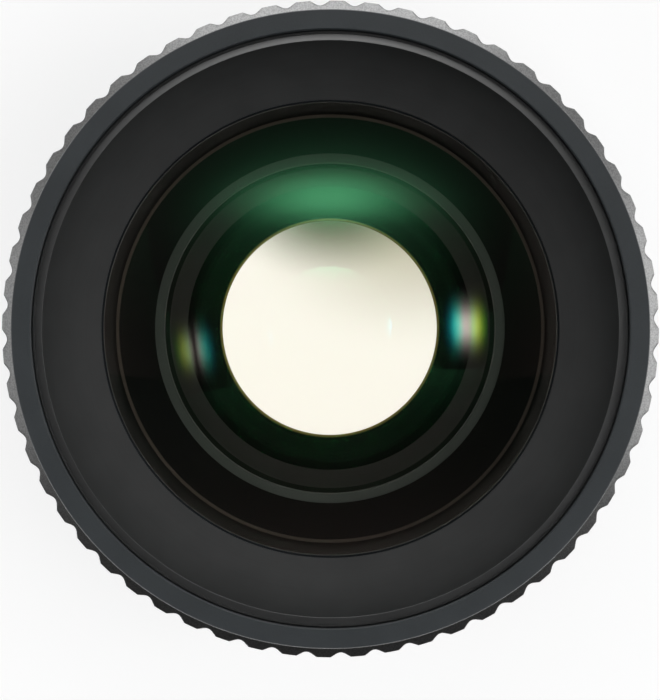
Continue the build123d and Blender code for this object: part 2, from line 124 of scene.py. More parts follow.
def colour(name, description, default):
    """A colour that a user can change."""
    return FloatVectorProperty(
        name=name, description=description, default=default, size=3, min=0, max=1, subtype="COLOR"
    )


class GripSettings(bpy.types.PropertyGroup):
    """Sizes of the lobed grip ring."""

    lobes: IntProperty(name="Lobes", description="Number of lobes round the ring", default=60)
    flute_depth: size("Flute depth", "Depth of a flute's straight flanks where they would meet", 0.5 * MM)
    flute_half_width: size("Flute half width", "Half the width of a flute at the lobe tips", 0.75 * MM)
    valley_radius: size("Valley radius", "Rounding at the bottom of a flute", 0.6 * MM)
    shoulder_radius: size("Shoulder radius", "Rounding of a lobe's shoulders", 0.2 * MM)
    first_flute: turn("First flute", "Angle of the first flute from the X axis", 1.8)
    front_bevel_width: size("Front bevel width", "Width of the bright bevel on the lobes", 0.7 * MM)
    front_bevel_height: size("Front bevel height", "Height of the bright bevel on the lobes", 0.5 * MM)
    inner_wall: size("Inner wall", "Wall between the ring's inner bore and the lobe tips", 2.48 * MM)
    bore_wall: size("Bore wall", "Wall between the rim's bore and the lobe tips", 2.22 * MM)
    bore_bevel: size("Bore bevel", "Bevel at the mouth of the rim's bore", 0.1 * MM)
    bore_depth: size("Bore depth", "Depth of the rim's bore", 2.8 * MM)
    collar_setback: size("Collar setback", "How far the plain collar stays inside the lobe tips", 0.6 * MM)
    collar_height: size("Collar height", "Height of the plain collar", 2.4 * MM)
    edge_break: size("Edge break", "Bevel at the collar's edge", 0.3 * MM)


class FrontSettings(bpy.types.PropertyGroup):
    """Sizes of the dish ring and the front group."""

    lip_rise: size("Lip rise", "Height of the bright bevel on the lip", 0.12 * MM)
    lip_width: size("Lip width", "Width of the bright bevel on the lip", 0.5 * MM)
    lip_radius: size("Lip radius", "Outer radius of the lip", 22.3 * MM)
    dish_opening: size("Dish opening", "Radius of the dish's opening", 17.6 * MM)
    dish_edge: size("Dish edge", "Height of the wall round the dish's opening", 0.35 * MM)
    dish_hollow: size("Dish hollow", "How far the dish is hollowed below a straight cone", 0.6 * MM)
    dish_thread_height: size("Dish thread height", "Height of the dish ring's thread", 1.7 * MM)
    crown_curve: size("Crown curve", "Radius of curvature of the front glass", 48.0 * MM)
    glass_edge_break: size("Glass edge break", "Ground bevel on the edge of a glass", 0.2 * MM)
    ring_opening: size("Ring opening", "Opening of the front retaining ring", 17.46 * MM)
    baffle_front: size("Baffle front", "Front opening of the baffle", 15.32 * MM)
    baffle_rear: size("Baffle rear", "Rear opening of the baffle", 11.64 * MM)
    baffle_wall: size("Baffle wall", "Wall of the baffle's cone", 0.9 * MM)
    baffle_foot: size("Baffle foot", "Height of the baffle's feet", 1.0 * MM)
    baffle_grooves: IntProperty(name="Baffle grooves", description="Grooves in the baffle", default=24)


class RearSettings(bpy.types.PropertyGroup):
    """Sizes of the rear group."""

    meniscus_front_curve: size("Meniscus front curve", "Radius of curvature of its front face", 24.0 * MM)
    meniscus_rear_curve: size("Meniscus rear curve", "Radius of curvature of its hollow face", 13.5 * MM)
    meniscus_land: size("Meniscus land", "Width of the ground flat round the hollow", 2.3 * MM)
    ring_reach: size("Ring reach", "How far the mid retaining ring reaches over the glass", 1.03 * MM)
    ring_slope: size("Ring slope", "Fall of the ring's front face across its width", 0.12 * MM)
    ring_foot: size("Ring foot", "Width of the ring's foot outside the glass", 0.97 * MM)
    rear_glass_curve: size("Rear glass curve", "Radius of curvature of its hollow face", 90.0 * MM)
    spacer_wall: size("Spacer wall", "Wall of the spacer at its rear edge", 1.7 * MM)
    stop_radius: size("Stop radius", "Radius of the clear aperture", 7.2 * MM)
    stop_land: size("Stop land", "Height of the wall round the aperture", 0.3 * MM)
    stop_funnel: size("Stop funnel", "Front radius of the stop ring's funnel", 9.3 * MM)


class MountSettings(bpy.types.PropertyGroup):
    """Sizes of the rear mount and its fasteners."""

    thread_radius: size("Thread radius", "Outer radius of the mounting thread", 18.5 * MM)
    thread_pitch: size("Thread pitch", "Pitch of the mounting thread", 0.75 * MM)
    thread_depth: size("Thread depth", "Depth of the mounting thread", 0.42 * MM)
    thread_relief: size("Thread relief", "Length of the relief groove at the thread's foot", 1.2 * MM)
    relief_depth: size("Relief depth", "Depth of the relief groove", 0.5 * MM)
    spigot_length: size("Spigot length", "Length of the threaded spigot", 3.6 * MM)
    flange_height: size("Flange height", "Height of the flange", 2.4 * MM)
    pilot_radius: size("Pilot radius", "Radius of the pilot in the barrel", 20.0 * MM)
    bore_radius: size("Bore radius", "Bore of the mount", 14.62 * MM)
    edge_break: size("Edge break", "Bevel at outer edges", 0.3 * MM)
    screw_proud: size("Screw proud", "How far the screw heads stand out of the flange's face", 0.02 * MM)
    grub_screws: IntProperty(name="Grub screws", description="Number of grub screws", default=3)
    first_grub: turn("First grub screw", "Angle of the first grub screw", 30.0)
    grub_radius: size("Grub radius", "Radius of a grub screw", 1.0 * MM)
    screw_fit: size("Screw fit", "Clearance round a screw", 0.03 * MM)


class FinishSettings(bpy.types.PropertyGroup):
    """Colours of the finishes."""

    grip: colour("Grip", "Bead blasted black anodised grip ring", (0.017, 0.020, 0.022))
    cut_metal: colour("Cut metal", "Bright grain on the cut bevel of the lobes", (0.50, 0.50, 0.50))
    barrel: colour("Barrel", "Satin black anodised barrel and mount", (0.018, 0.019, 0.021))
    dish: colour("Dish", "Satin dish ring", (0.0215, 0.022, 0.022))
    inner: colour("Inner black", "Matt black inner pieces", (0.0025, 0.0025, 0.0024))
    # Painted highlight: brown glint on the baffle's front edge.
    painted_ledge_glint: colour("Ledge", "Brown front edge of the baffle", (0.036, 0.028, 0.024))
    ring: colour("Grey-green ring", "Mid retaining ring", (0.028, 0.032, 0.028))
    # Painted highlight: brown glint on the stop ring's edge round the aperture.
    painted_stop_glint: colour("Stop edge", "Brown edge of the stop ring", (0.30, 0.21, 0.07))
    coating: colour("Coating", "Tint of the front glass's reflections", (0.22, 1.0, 0.45))
    rear_coating: colour("Rear coating", "Tint of the front glass's rear reflections", (0.32, 0.22, 0.20))
    inner_coating: colour("Inner coating", "Tint of the rear glasses' reflections", (0.25, 0.9, 0.5))
    band: colour("Front band", "Blue-black retaining ring of the front glass", (0.006, 0.007, 0.008))
    spacer: colour("Spacer", "Satin black spacer of the rear glasses", (0.006, 0.007, 0.006))
    rubber: colour("Rubber", "Rubber rings", (0.012, 0.012, 0.012))
    steel: colour("Steel", "Blackened screws", (0.10, 0.10, 0.105))
    brass: colour("Brass", "Focus shim", (0.62, 0.44, 0.18))


class StageSettings(bpy.types.PropertyGroup):
    """Camera, lamps and floor."""

    camera_height: size("Camera height", "Height of the camera over the rear face", 276.0 * MM)
    camera_right: size("Camera right", "Camera's offset from the axis along X", -0.4 * MM)
    camera_up: size("Camera up", "Camera's offset from the axis along Y", 0.6 * MM)
    focal_length: level("Focal length", "Focal length in millimetres", 163.8)
    shift_right: level("Shift right", "Shift of the frame along X", 0.0069)
    shift_up: level("Shift up", "Shift of the frame along Y", -0.0414)
    key_tilt: turn("Key tilt", "Angle of the overhead softbox from the optical axis", 28.0)
    key_glow: level("Key glow", "Brightness of the overhead softbox's middle", 5.2)
    key_skirt: level("Key skirt", "Brightness of the overhead softbox's soft edge", 0.55)
    panel_tilt: turn("Panel tilt", "Angle of the side panels from the optical axis", 64.0)
    top_panel: level("Top panel", "Brightness of the panel beyond the picture's top", 2.4)
    right_panel: level("Right panel", "Brightness of the panel on the right", 3.0)
    left_panel: level("Left panel", "Brightness of the panel on the left", 1.3)
    right_strip: level("Right strip", "Brightness of the narrow strip on the right", 1.0)
    left_strip: level("Left strip", "Brightness of the narrow strip on the left", 0.32)
    overhead: level("Overhead", "Power of the wide light above, in watts", 29.0)
    floor: colour("Floor", "Colour of the floor", (0.86, 0.86, 0.86))
    # Painted light under the lens: the paper seen through it glows brighter and warmer than the floor.
    painted_light_under: colour("Floor under the lens", "Warm paper seen through the lens", (0.90, 0.965, 0.85))
    # Painted shade over that paper towards the picture's upper right.
    floor_painted_shade: colour("Floor haze", "Thin shade towards the picture's upper right", (0.40, 0.42, 0.27))
    # Painted shade on the far floor and wall: dark towards the picture's bottom, lighter grey towards its
    # top.
    far_shade_below: colour("Room below", "Far floor and wall towards the picture's bottom", (0.05, 0.05, 0.05))
    far_shade_above: colour("Room above", "Far floor and wall towards the picture's top", (0.35, 0.35, 0.35))
    # Painted shadow on the paper seen through the top of the lens.
    floor_shade: colour("Floor shade", "Shaded paper seen through the top of the lens", (0.07, 0.09, 0.045))


class Signal:
    """A number that varies over a surface. Arithmetic on it adds Math nodes."""

    def __init__(self, finish, socket):
        self.finish = finish
        self.socket = socket

    def math(self, operation, *operands):
        """Result of a Math node on these operands."""
        return self.finish.node("ShaderNodeMath", {"operation": operation}, dict(enumerate(operands)))

    def __add__(self, other):
        return self.math("ADD", self, other)

    def __radd__(self, other):
        return self.math("ADD", other, self)

    def __sub__(self, other):
        return self.math("SUBTRACT", self, other)

    def __rsub__(self, other):
        return self.math("SUBTRACT", other, self)

    def __mul__(self, other):
        return self.math("MULTIPLY", self, other)

    def __rmul__(self, other):
        return self.math("MULTIPLY", other, self)

    def __truediv__(self, other):
        return self.math("DIVIDE", self, other)

    def __pow__(self, other):
        return self.math("POWER", self, other)

    def __rpow__(self, other):
        return self.math("POWER", other, self)

    def rises(self, start, end):
        """Smooth step from 0 at start to 1 at end."""
        return self.finish.node(
            "ShaderNodeMapRange",
            {"interpolation_type": "SMOOTHSTEP"},
            {"Value": self, "From Min": start, "From Max": end},
        )

    def bell(self, centre, width):
        """Soft bump of height 1 round this value."""
        return BELL_BASE ** (0 - ((self - centre) / width) ** 2)

    def other(self, name):
        """Another output of the same node."""
        return Signal(self.finish, self.socket.node.outputs[name])


class Finish:
    """A material, lamp or world in the making: a node tree and the methods that fill it."""

    def __init__(self, owner):
        owner.use_nodes = True
        self.owner = owner
        self.tree = owner.node_tree
        self.tree.nodes.clear()

    def node(self, kind, settings=None, sockets=None, output=0):
        """Makes any node: its settings first, then the values or links of its sockets."""
        made = self.tree.nodes.new(kind)
        for key, value in (settings or {}).items():
            setattr(made, key, value)
        for key, value in (sockets or {}).items():
            if isinstance(value, Signal):
                self.tree.links.new(value.socket, made.inputs[key])
            else:
                made.inputs[key].default_value = value
        outputs = made.outputs
        return Signal(self, outputs[output]) if len(outputs) else None

    def place(self):
        """Coordinates of the surface in metres, in the shared frame."""
        return self.node("ShaderNodeTexCoord", output="Object")

    def axes(self):
        """The surface's x, y and z."""
        x = self.node("ShaderNodeSeparateXYZ", None, {0: self.place()})
        return x, x.other("Y"), x.other("Z")

    def radius(self):
        """Distance from the optical axis."""
        x, y, _ = self.axes()
        return (x * x + y * y) ** 0.5

    def grain(self, fineness, detail=3.0):
        """Even noise whose features have this size."""
        return self.node(
            "ShaderNodeTexNoise", None, {"Vector": self.place(), "Scale": 1 / fineness, "Detail": detail}
        )

    def turned_lines(self, fineness):
        """Noise that is the same all round the axis, like the lines a lathe tool leaves."""
        z = self.axes()[2]
        along = self.node("ShaderNodeCombineXYZ", None, {"X": self.radius(), "Y": z})
        return self.node("ShaderNodeTexNoise", None, {"Vector": along, "Scale": 1 / fineness, "Detail": 2.0})

    def mix(self, factor, first, second):
        """Colour between two colours."""
        return self.node(
            "ShaderNodeMix", {"data_type": "RGBA"}, {0: factor, 6: opaque(first), 7: opaque(second)}, output=2
        )

    def scaled(self, tint, factor):
        """A colour times a number."""
        return self.node("ShaderNodeVectorMath", {"operation": "SCALE"}, {0: tint, 3: factor})

    def bump(self, height, depth):
        """Normal of a surface whose relief is this deep."""
        return self.node("ShaderNodeBump", None, {"Strength": 1.0, "Distance": depth, "Height": height})

    def principled(self, sockets):
        """The general surface shader."""
        return self.node("ShaderNodeBsdfPrincipled", None, sockets)

    def glow(self, tint, strength):
        """A shader that only gives light."""
        return self.node("ShaderNodeEmission", None, {"Color": self.scaled(tint, strength), "Strength": 1.0})

    def surface(self, sockets):
        """Ends the tree with the general surface shader."""
        return self.output(self.principled(sockets))

    def output(self, shader, kind="ShaderNodeOutputMaterial"):
        """Ends the tree, and gives back what it belongs to."""
        self.node(kind, None, {"Surface": shader})
        return self.owner


def lighter(tint, factor):
    """A colour times a number, held at white."""
    return tuple(min(1.0, part * factor) for part in tint)


def opaque(value):
    """A colour with its alpha, or a signal as it is."""
    return value if isinstance(value, Signal) else (*value, 1.0)


def new_finish(name):
    """An empty material."""
    return Finish(bpy.data.materials.new(name))


def anodised(name, tint, roughness, line_depth=0.4e-6, grain_depth=1.2e-6, lift=0.35, gloss=0.5):
    """Anodised metal: turned lines, a blasted grain and a little colour change."""
    finish = new_finish(name)
    grain = finish.grain(0.09 * MM)
    cloud = finish.grain(3.0 * MM)
    lines = finish.turned_lines(0.05 * MM)
    base = finish.mix((grain * 0.6 + cloud * 0.4).rises(0.3, 0.7), tint, lighter(tint, 1 + lift))
    lined = finish.bump(lines, line_depth)
    relief = finish.node(
        "ShaderNodeBump", None, {"Strength": 1.0, "Distance": grain_depth, "Height": grain, "Normal": lined}
    )
    return finish.surface(
        {
            "Base Color": base,
            "Roughness": roughness - 0.06 + grain * 0.12,
            "IOR": METAL_INDEX,
            "Specular IOR Level": gloss,
            "Normal": relief,
        }
    )


def grip_finish(tint, cut, bevel_inner, bevel_foot):
    """Blasted grip ring with a bright cut bevel, outside this radius and above this height."""
    finish = new_finish("grip_blasted")
    grain = finish.grain(0.11 * MM)
    cloud = finish.grain(4.0 * MM)
    radius = finish.radius()
    height = finish.axes()[2]
    bevel = radius.rises(bevel_inner - 0.08 * MM, bevel_inner + 0.04 * MM)
    bevel = bevel * height.rises(bevel_foot - 0.12 * MM, bevel_foot)
    speckle = finish.grain(0.12 * MM, 4.0).rises(0.36, 0.62)
    dark = finish.mix((grain * 0.6 + cloud * 0.4).rises(0.3, 0.7), tint, lighter(tint, 1.4))
    return finish.surface(
        {
            "Base Color": finish.mix(bevel * (0.7 + speckle * 0.3), dark, cut),
            "Metallic": bevel,
            "Roughness": 0.46 + grain * 0.1 - bevel * 0.12,
            "IOR": METAL_INDEX,
            "Normal": finish.bump(grain, 2.2e-6),
        }
    )


def dish_finish(tint, lip):
    """Satin paint on the dish and a glossier cut face on its lip."""
    finish = new_finish("dish_satin_turned")
    lines = finish.turned_lines(0.05 * MM)
    cloud = finish.grain(3.0 * MM)
    face = finish.radius().rises(lip - 0.03 * MM, lip + 0.01 * MM)
    base = finish.mix((lines * 0.5 + cloud * 0.5).rises(0.3, 0.7), tint, lighter(tint, 1.25))
    relief = finish.bump(lines, 0.4e-6)
    paint, cut = (
        finish.principled(
            {
                "Base Color": base,
                "Roughness": roughness + lines * 0.04,
                "IOR": PAINT_INDEX,
                "Specular IOR Level": gloss,
                "Normal": relief,
            }
        )
        for roughness, gloss in ((0.6, 0.12), (0.33, 0.87))
    )
    return finish.output(finish.node("ShaderNodeMixShader", None, {0: face, 1: paint, 2: cut}))


def inner_finish(name, tint, edge, edge_mask):
    """Matt black inner metal with turned lines, and another colour where the mask says, which on the baffle
    and the stop ring is a painted brown glint on an edge.
    """
    finish = new_finish(name)
    lines = finish.turned_lines(0.08 * MM)
    base = finish.mix(lines.rises(0.35, 0.7), tint, lighter(tint, 2.2))
    return finish.surface(
        {
            "Base Color": finish.mix(edge_mask(finish), base, edge),
            "Roughness": 0.5 + lines * 0.2,
            "Specular IOR Level": 0.12,
            "Normal": finish.bump(lines, 1.5e-6),
        }
    )


def no_edge(finish):
    """Mask of a piece without an edge of another colour."""
    return finish.radius().rises(1.0, 2.0)


def glass_finish(name, coating, body, index):
    """Coated glass that lets the lamps light what is behind it."""
    finish = new_finish(name)
    smear = finish.grain(2.5 * MM)
    glass = finish.principled(
        {
            "Base Color": finish.mix(smear, body, lighter(body, 1.01)),
            "Transmission Weight": 1.0,
            "Roughness": 0.0,
            "IOR": index,
            "Specular Tint": (*coating, 1.0),
        }
    )
    clear = finish.node("ShaderNodeBsdfTransparent", None, {"Color": LAMP_SHARE})
    shadow = finish.node("ShaderNodeLightPath", output="Is Shadow Ray")
    return finish.output(finish.node("ShaderNodeMixShader", None, {0: shadow, 1: glass, 2: clear}))


def rubber_finish(tint):
    """Matt rubber with a fine moulded grain."""
    finish = new_finish("rubber_ring")
    grain = finish.grain(0.12 * MM, 5.0)
    return finish.surface(
        {
            "Base Color": finish.mix(grain, tint, lighter(tint, 1.8)),
            "Roughness": 0.62 + grain * 0.15,
            "Normal": finish.bump(grain, 6e-6),
        }
    )


def metal_finish(name, tint, roughness):
    """Bare metal with a fine even grain."""
    finish = new_finish(name)
    lines = finish.grain(0.06 * MM)
    return finish.surface(
        {
            "Base Color": finish.mix(lines, tint, lighter(tint, 1.25)),
            "Metallic": 1.0,
            "Roughness": roughness + lines * 0.12,
            "Normal": finish.bump(lines, 1e-6),
        }
    )


def sphere_drop(curve, distance):
    """How far a spherical face falls away at this distance from the axis."""
    return curve - sqrt(curve * curve - distance * distance)


def rounded(corners, rounding):
    """Closed outline of (radius, height) corners, rounded a little wherever they aren't on the axis."""
    points = []
    for index, corner in enumerate(corners):
        here = Vector(corner)
        before = Vector(corners[index - 1]) - here
        after = Vector(corners[(index + 1) % len(corners)]) - here
        cut = min(rounding, 0.45 * before.length, 0.45 * after.length)
        if cut <= 0 or corner[0] == 0 or before.angle(after) > STRAIGHT_ANGLE:
            points.append(tuple(here))
            continue
        start = here + before.normalized() * cut
        end = here + after.normalized() * cut
        for step in range(ROUND_STEPS + 1):
            share = step / ROUND_STEPS
            points.append(tuple(start * (1 - share) ** 2 + here * 2 * share * (1 - share) + end * share ** 2))
    return points


def band_outline(node, inner, rounding):
    """Rounded section of a plain ring of a CAD node's height and reach."""
    outer, low, high = extent(node)
    return rounded([(inner, low), (outer, low), (outer, high), (inner, high)], rounding)


def face_points(height_at, start, end, steps=ARC_STEPS):
    """Points on a turned face between two distances from the axis."""
    radii = [start + (end - start) * step / steps for step in range(steps + 1)]
    return [(radius, height_at(radius)) for radius in radii]


def add_piece(name, mesh, nodes):
    """Puts a finished mesh into the scene as a piece of the lens."""
    piece = bpy.data.objects.new(name, mesh)
    bpy.context.scene.collection.objects.link(piece)
    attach(piece, BODY)
    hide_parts(*nodes)
    return piece


def mesh_from_rings(name, rings, closed, material):
    """Mesh over rings of points. A ring of one point is a pole."""
    build = bmesh.new()
    loops = [[build.verts.new(point) for point in ring] for ring in rings]
    pairs = list(zip(loops, loops[1:] + loops[:1])) if closed else list(zip(loops, loops[1:]))
    for first, second in pairs:
        count = max(len(first), len(second))
        for index in range(count if count > 1 else 0):
            following = (index + 1) % count
            corners = [first[index % len(first)], first[following % len(first)]]
            corners += [second[following % len(second)], second[index % len(second)]]
            build.faces.new(list(dict.fromkeys(corners)))
    bmesh.ops.recalc_face_normals(build, faces=build.faces)
    mesh = bpy.data.meshes.new(name)
    build.to_mesh(mesh)
    build.free()
    mesh.shade_smooth()
    mesh.set_sharp_from_angle(angle=SHARP_ANGLE)
    mesh.materials.append(material)
    return mesh


def turned(name, outline, material, segments=240, closed=True):
    """Mesh turned round the optical axis from an outline of (radius, height) points."""
    rings = []
    for radius, height in outline:
        if radius == 0:
            rings.append([(0, 0, height)])
            continue
        angles = [2 * pi * index / segments for index in range(segments)]
        rings.append([(radius * cos(angle), radius * sin(angle), height) for angle in angles])
    return mesh_from_rings(name, rings, closed, material)


def add_turned(name, outline, material, node, segments=240):
    """Turns an outline into the piece that takes a CAD node's place."""
    add_piece(name, turned(name, outline, material, segments), [node])


def with_holes(mesh, cutter):
    """The mesh with this cutter's volume taken out of it."""
    scene = bpy.context.scene
    block = bpy.data.objects.new("block", mesh)
    tool = bpy.data.objects.new("tool", cutter)
    scene.collection.objects.link(block)
    scene.collection.objects.link(tool)
    holes = block.modifiers.new("holes", "BOOLEAN")
    holes.object = tool
    holes.solver = "EXACT"
    drilled = bpy.data.meshes.new_from_object(block.evaluated_get(bpy.context.evaluated_depsgraph_get()))
    bpy.data.objects.remove(block)
    bpy.data.objects.remove(tool)
    drilled.name = mesh.name
    drilled.shade_smooth()
    drilled.set_sharp_from_angle(angle=SHARP_ANGLE)
    return drilled


def grub_drill(grip, mount):
    """Drills for the grub screws, from outside the collar in towards the ring's bore."""
    build = bmesh.new()
    tip = reach("grip_ring")
    length = grip.bore_wall + grip.collar_height
    height = bottom("grip_ring") + grip.collar_height / 2
    for index in range(mount.grub_screws):
        angle = mount.first_grub + index * 2 * pi / mount.grub_screws
        outwards = Vector((cos(angle), sin(angle), 0))
        place = Matrix.Translation(outwards * tip + Vector((0, 0, height)))
        place = place @ outwards.to_track_quat("Z", "Y").to_matrix().to_4x4()
        bmesh.ops.create_cone(
            build,
            cap_ends=True,
            segments=48,
            radius1=mount.grub_radius + mount.screw_fit,
            radius2=mount.grub_radius + mount.screw_fit,
            depth=length,
            matrix=place,
        )
    drill = bpy.data.meshes.new("drill")
    build.to_mesh(drill)
    build.free()
    return drill


def flute_depth_at(offset, grip):
    """Depth of the flute at this sideways offset from its middle."""
    offset = abs(offset)
    flank = atan(grip.flute_depth / grip.flute_half_width)
    valley_end = grip.valley_radius * sin(flank)
    shoulder_reach = grip.shoulder_radius * tan(flank / 2)
    shoulder_end = grip.flute_half_width + shoulder_reach
    shoulder_start = grip.flute_half_width - shoulder_reach * cos(flank)
    if offset < valley_end:
        bottom_depth = grip.flute_depth - grip.valley_radius * (1 / cos(flank) - 1)
        return bottom_depth - sphere_drop(grip.valley_radius, offset)
    if offset < shoulder_start:
        return grip.flute_depth * (1 - offset / grip.flute_half_width)
    if offset < shoulder_end:
        return sphere_drop(grip.shoulder_radius, shoulder_end - offset)
    return 0.0


def flute_stations(grip, tip):
    """Sideways offsets of the sections across one pitch, close together where the form is tight."""
    flank = atan(grip.flute_depth / grip.flute_half_width)
    valley_end = grip.valley_radius * sin(flank)
    shoulder_reach = grip.shoulder_radius * tan(flank / 2)
    crest = pi * tip / grip.lobes
    shoulder = grip.flute_half_width
    ends = [0.0, valley_end, shoulder - shoulder_reach, shoulder + shoulder_reach, crest]
    counts = [4, 3, 4, 2]
    half = [
        start + (end - start) * step / count
        for start, end, count in zip(ends, ends[1:], counts)
        for step in range(count)
    ]
    return [-offset for offset in reversed(half[1:])] + half + [crest]


def grip_mesh(grip, material):
    """The grip ring: its section at each of the stations round the lobes."""
    tip, rear, front = extent("grip_ring")
    bore = tip - grip.bore_wall
    inside = tip - grip.inner_wall
    collar = tip - grip.collar_setback
    section = [
        (inside, rear),
        (collar - grip.edge_break, rear),
        (collar - 0.1 * MM, rear + 0.06 * MM),
        (collar, rear + grip.edge_break),
        (collar, rear + grip.collar_height - 0.08 * MM),
    ]
    for step in range(BEVEL_STEPS + 1):
        rise = grip.collar_setback * step / BEVEL_STEPS
        section.append((collar + rise, rear + grip.collar_height + rise))
    bevel_start = front - grip.front_bevel_height
    section.append((tip, rear + grip.collar_height + grip.collar_setback + 0.3 * MM))
    section.append((tip, bevel_start - 0.08 * MM))
    for step in range(BEVEL_STEPS + 1):
        share = step / BEVEL_STEPS
        section.append((tip - grip.front_bevel_width * share, bevel_start + grip.front_bevel_height * share))
    section += [
        (tip - grip.front_bevel_width - 0.06 * MM, front),
        (bore + grip.bore_bevel + 0.04 * MM, front),
        (bore + grip.bore_bevel, front),
        (bore, front - grip.bore_bevel),
        (bore, front - grip.bore_bevel - 0.04 * MM),
        (bore, front - grip.bore_depth),
        (inside, front - grip.bore_depth),
    ]
    offsets = flute_stations(grip, tip)
    pitch = 2 * pi / grip.lobes
    angles = []
    depths = []
    for lobe in range(grip.lobes):
        for offset in offsets:
            angles.append(grip.first_flute + lobe * pitch + offset / tip)
            depths.append(flute_depth_at(offset, grip))
    rings = []
    for radius, height in section:
        ring = []
        for angle, depth in zip(angles, depths):
            here = min(radius, tip - depth)
            ring.append((here * cos(angle), here * sin(angle), height))
        rings.append(ring)
    return mesh_from_rings("grip_ring_lobed", rings, True, material)


def thread_mesh(mount, name, material):
    """The threaded spigot and the flange, turned, with a real helix on the thread."""
    segments = 180
    flange_bottom = mount.spigot_length
    flange_top = flange_bottom + mount.flange_height
    pilot_top = top("mount_adapter")
    rim = reach("mount_adapter")
    thread_end = flange_bottom - mount.thread_relief
    relief = mount.thread_radius - mount.relief_depth
    rows = 28
    fade = 0.5 * mount.thread_pitch
    flank_slope = 2.6
    steps = [(mount.bore_radius, 0.0), (relief, 0.0)]
    steps += [(mount.thread_radius, thread_end * row / rows) for row in range(rows + 1)]
    steps += rounded(
        [
            (relief, thread_end),
            (relief, flange_bottom + mount.screw_proud),
            (rim - mount.edge_break, flange_bottom + mount.screw_proud),
            (rim, flange_bottom + mount.edge_break),
            (rim, flange_top - mount.edge_break),
            (rim - mount.edge_break, flange_top),
            (mount.pilot_radius, flange_top),
            (mount.pilot_radius, pilot_top),
            (mount.bore_radius, pilot_top),
        ],
        0.05 * MM,
    )
    rings = []
    for index, (radius, height) in enumerate(steps):
        ring = []
        for segment in range(segments):
            angle = 2 * pi * segment / segments
            here = radius
            if 2 <= index < 3 + rows:
                phase = (height / mount.thread_pitch - segment / segments) % 1.0
                cut = mount.thread_depth * (1 - min(1.0, flank_slope * abs(phase - 0.5)))
                ends = min(1.0, height / fade)
                here = relief + (radius - relief - cut) * ends
            ring.append((here * cos(angle), here * sin(angle), height))
        rings.append(ring)
    return mesh_from_rings(name, rings, True, material)


def finish_named(name, make, *values):
    """The material of this name, made the first time that it is asked for."""
    return bpy.data.materials.get(name) or make(*values)


def satin_black(settings):
    """Satin black of the barrel and the mount."""
    return finish_named("barrel_satin", anodised, "barrel_satin", settings.barrel, 0.4)


def black_inside(settings):
    """Matt black of the inner pieces."""
    return finish_named("cell_black", inner_finish, "cell_black", settings.inner, settings.inner, no_edge)


def dress(node, material):
    """Gives a CAD node its finish. Its shape stays."""
    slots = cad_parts[node].material_slots
    for index in range(len(slots)):
        slots[index].link = "OBJECT"
        slots[index].material = material


class LENS_OT_grip_ring(bpy.types.Operator):
    """Make the grip ring with its lobes and the bright bevel"""

    bl_idname = "lens.grip_ring"
    bl_label = "Grip ring"

    def execute(self, context):
        scene = context.scene
        colours = scene.lens_finish
        grip = scene.lens_grip
        bevel_inner = reach("grip_ring") - grip.front_bevel_width
        bevel_foot = top("grip_ring") - grip.front_bevel_height
        material = grip_finish(colours.grip, colours.cut_metal, bevel_inner, bevel_foot)
        mesh = with_holes(grip_mesh(grip, material), grub_drill(grip, scene.lens_mount))
        add_piece("grip_ring_lobed", mesh, ["grip_ring"])
        return {"FINISHED"}


class LENS_OT_barrel(bpy.types.Operator):
    """Give the barrel and the rear cell their finish"""

    bl_idname = "lens.barrel"
    bl_label = "Barrel"

    def execute(self, context):
        colours = context.scene.lens_finish
        dress("main_barrel", satin_black(colours))
        dress("rear_cell", black_inside(colours))
        return {"FINISHED"}


class LENS_OT_dish_ring(bpy.types.Operator):
    """Make the satin dish with its bright lip"""

    bl_idname = "lens.dish_ring"
    bl_label = "Dish ring"

    def execute(self, context):
        front = context.scene.lens_front
        outer, low, lip_top = extent("dish_ring")
        skirt_top = top("main_barrel")
        inner_edge = Vector((front.dish_opening, low + front.dish_edge))
        lip_edge = Vector((front.lip_radius - front.lip_width, lip_top))
        span = lip_edge - inner_edge
        normal = Vector((span.y, -span.x)).normalized()
        hollow = []
        for step in range(ARC_STEPS + 1):
            share = step / ARC_STEPS
            point = inner_edge + span * share + normal * front.dish_hollow * 4 * share * (1 - share)
            hollow.append(tuple(point))
        outline = rounded(
            [
                (front.dish_opening, low),
                (reach("front_cell"), low),
                (reach("front_cell"), skirt_top),
                (outer, skirt_top),
                (outer, skirt_top + front.dish_thread_height),
                (front.lip_radius, skirt_top + front.dish_thread_height),
                (front.lip_radius, lip_top - front.lip_rise),
                (front.lip_radius - front.lip_width, lip_top),
            ],
            0.03 * MM,
        )
        outline += list(reversed(hollow))[1:]
        colours = context.scene.lens_finish
        material = dish_finish(colours.dish, front.lip_radius - front.lip_width)
        add_turned("dish_ring_turned", outline, material, "dish_ring", 360)
        return {"FINISHED"}


class LENS_OT_front_glass(bpy.types.Operator):
    """Make the cemented front glass with its coating"""

    bl_idname = "lens.front_glass"
    bl_label = "Front glass"

    def execute(self, context):
        front = context.scene.lens_front
        colours = context.scene.lens_finish
        outer = reach("front_crown_element")
        vertex = top("front_crown_element")
        rear = bottom("front_flint_element")
        face_end = outer - front.glass_edge_break
        face = face_points(lambda radius: vertex - sphere_drop(front.crown_curve, radius), 0.0, face_end)
        outline = face + [
            (outer, face[-1][1] - front.glass_edge_break),
            (outer, rear + front.glass_edge_break),
            (face_end, rear),
            (0.0, rear),
        ]
        material = glass_finish("front_glass_coated", colours.coating, FRONT_GLASS_BODY, FRONT_INDEX)
        mesh = turned("front_glass", outline, material, 360)
        mesh.materials.append(
            glass_finish("front_glass_rear_coat", colours.rear_coating, FRONT_GLASS_BODY, FRONT_INDEX)
        )
        for face in mesh.polygons:
            if face.center.z < rear + front.glass_edge_break / 2:
                face.material_index = 1
        add_piece("front_glass", mesh, ["front_crown_element", "front_flint_element"])
        return {"FINISHED"}


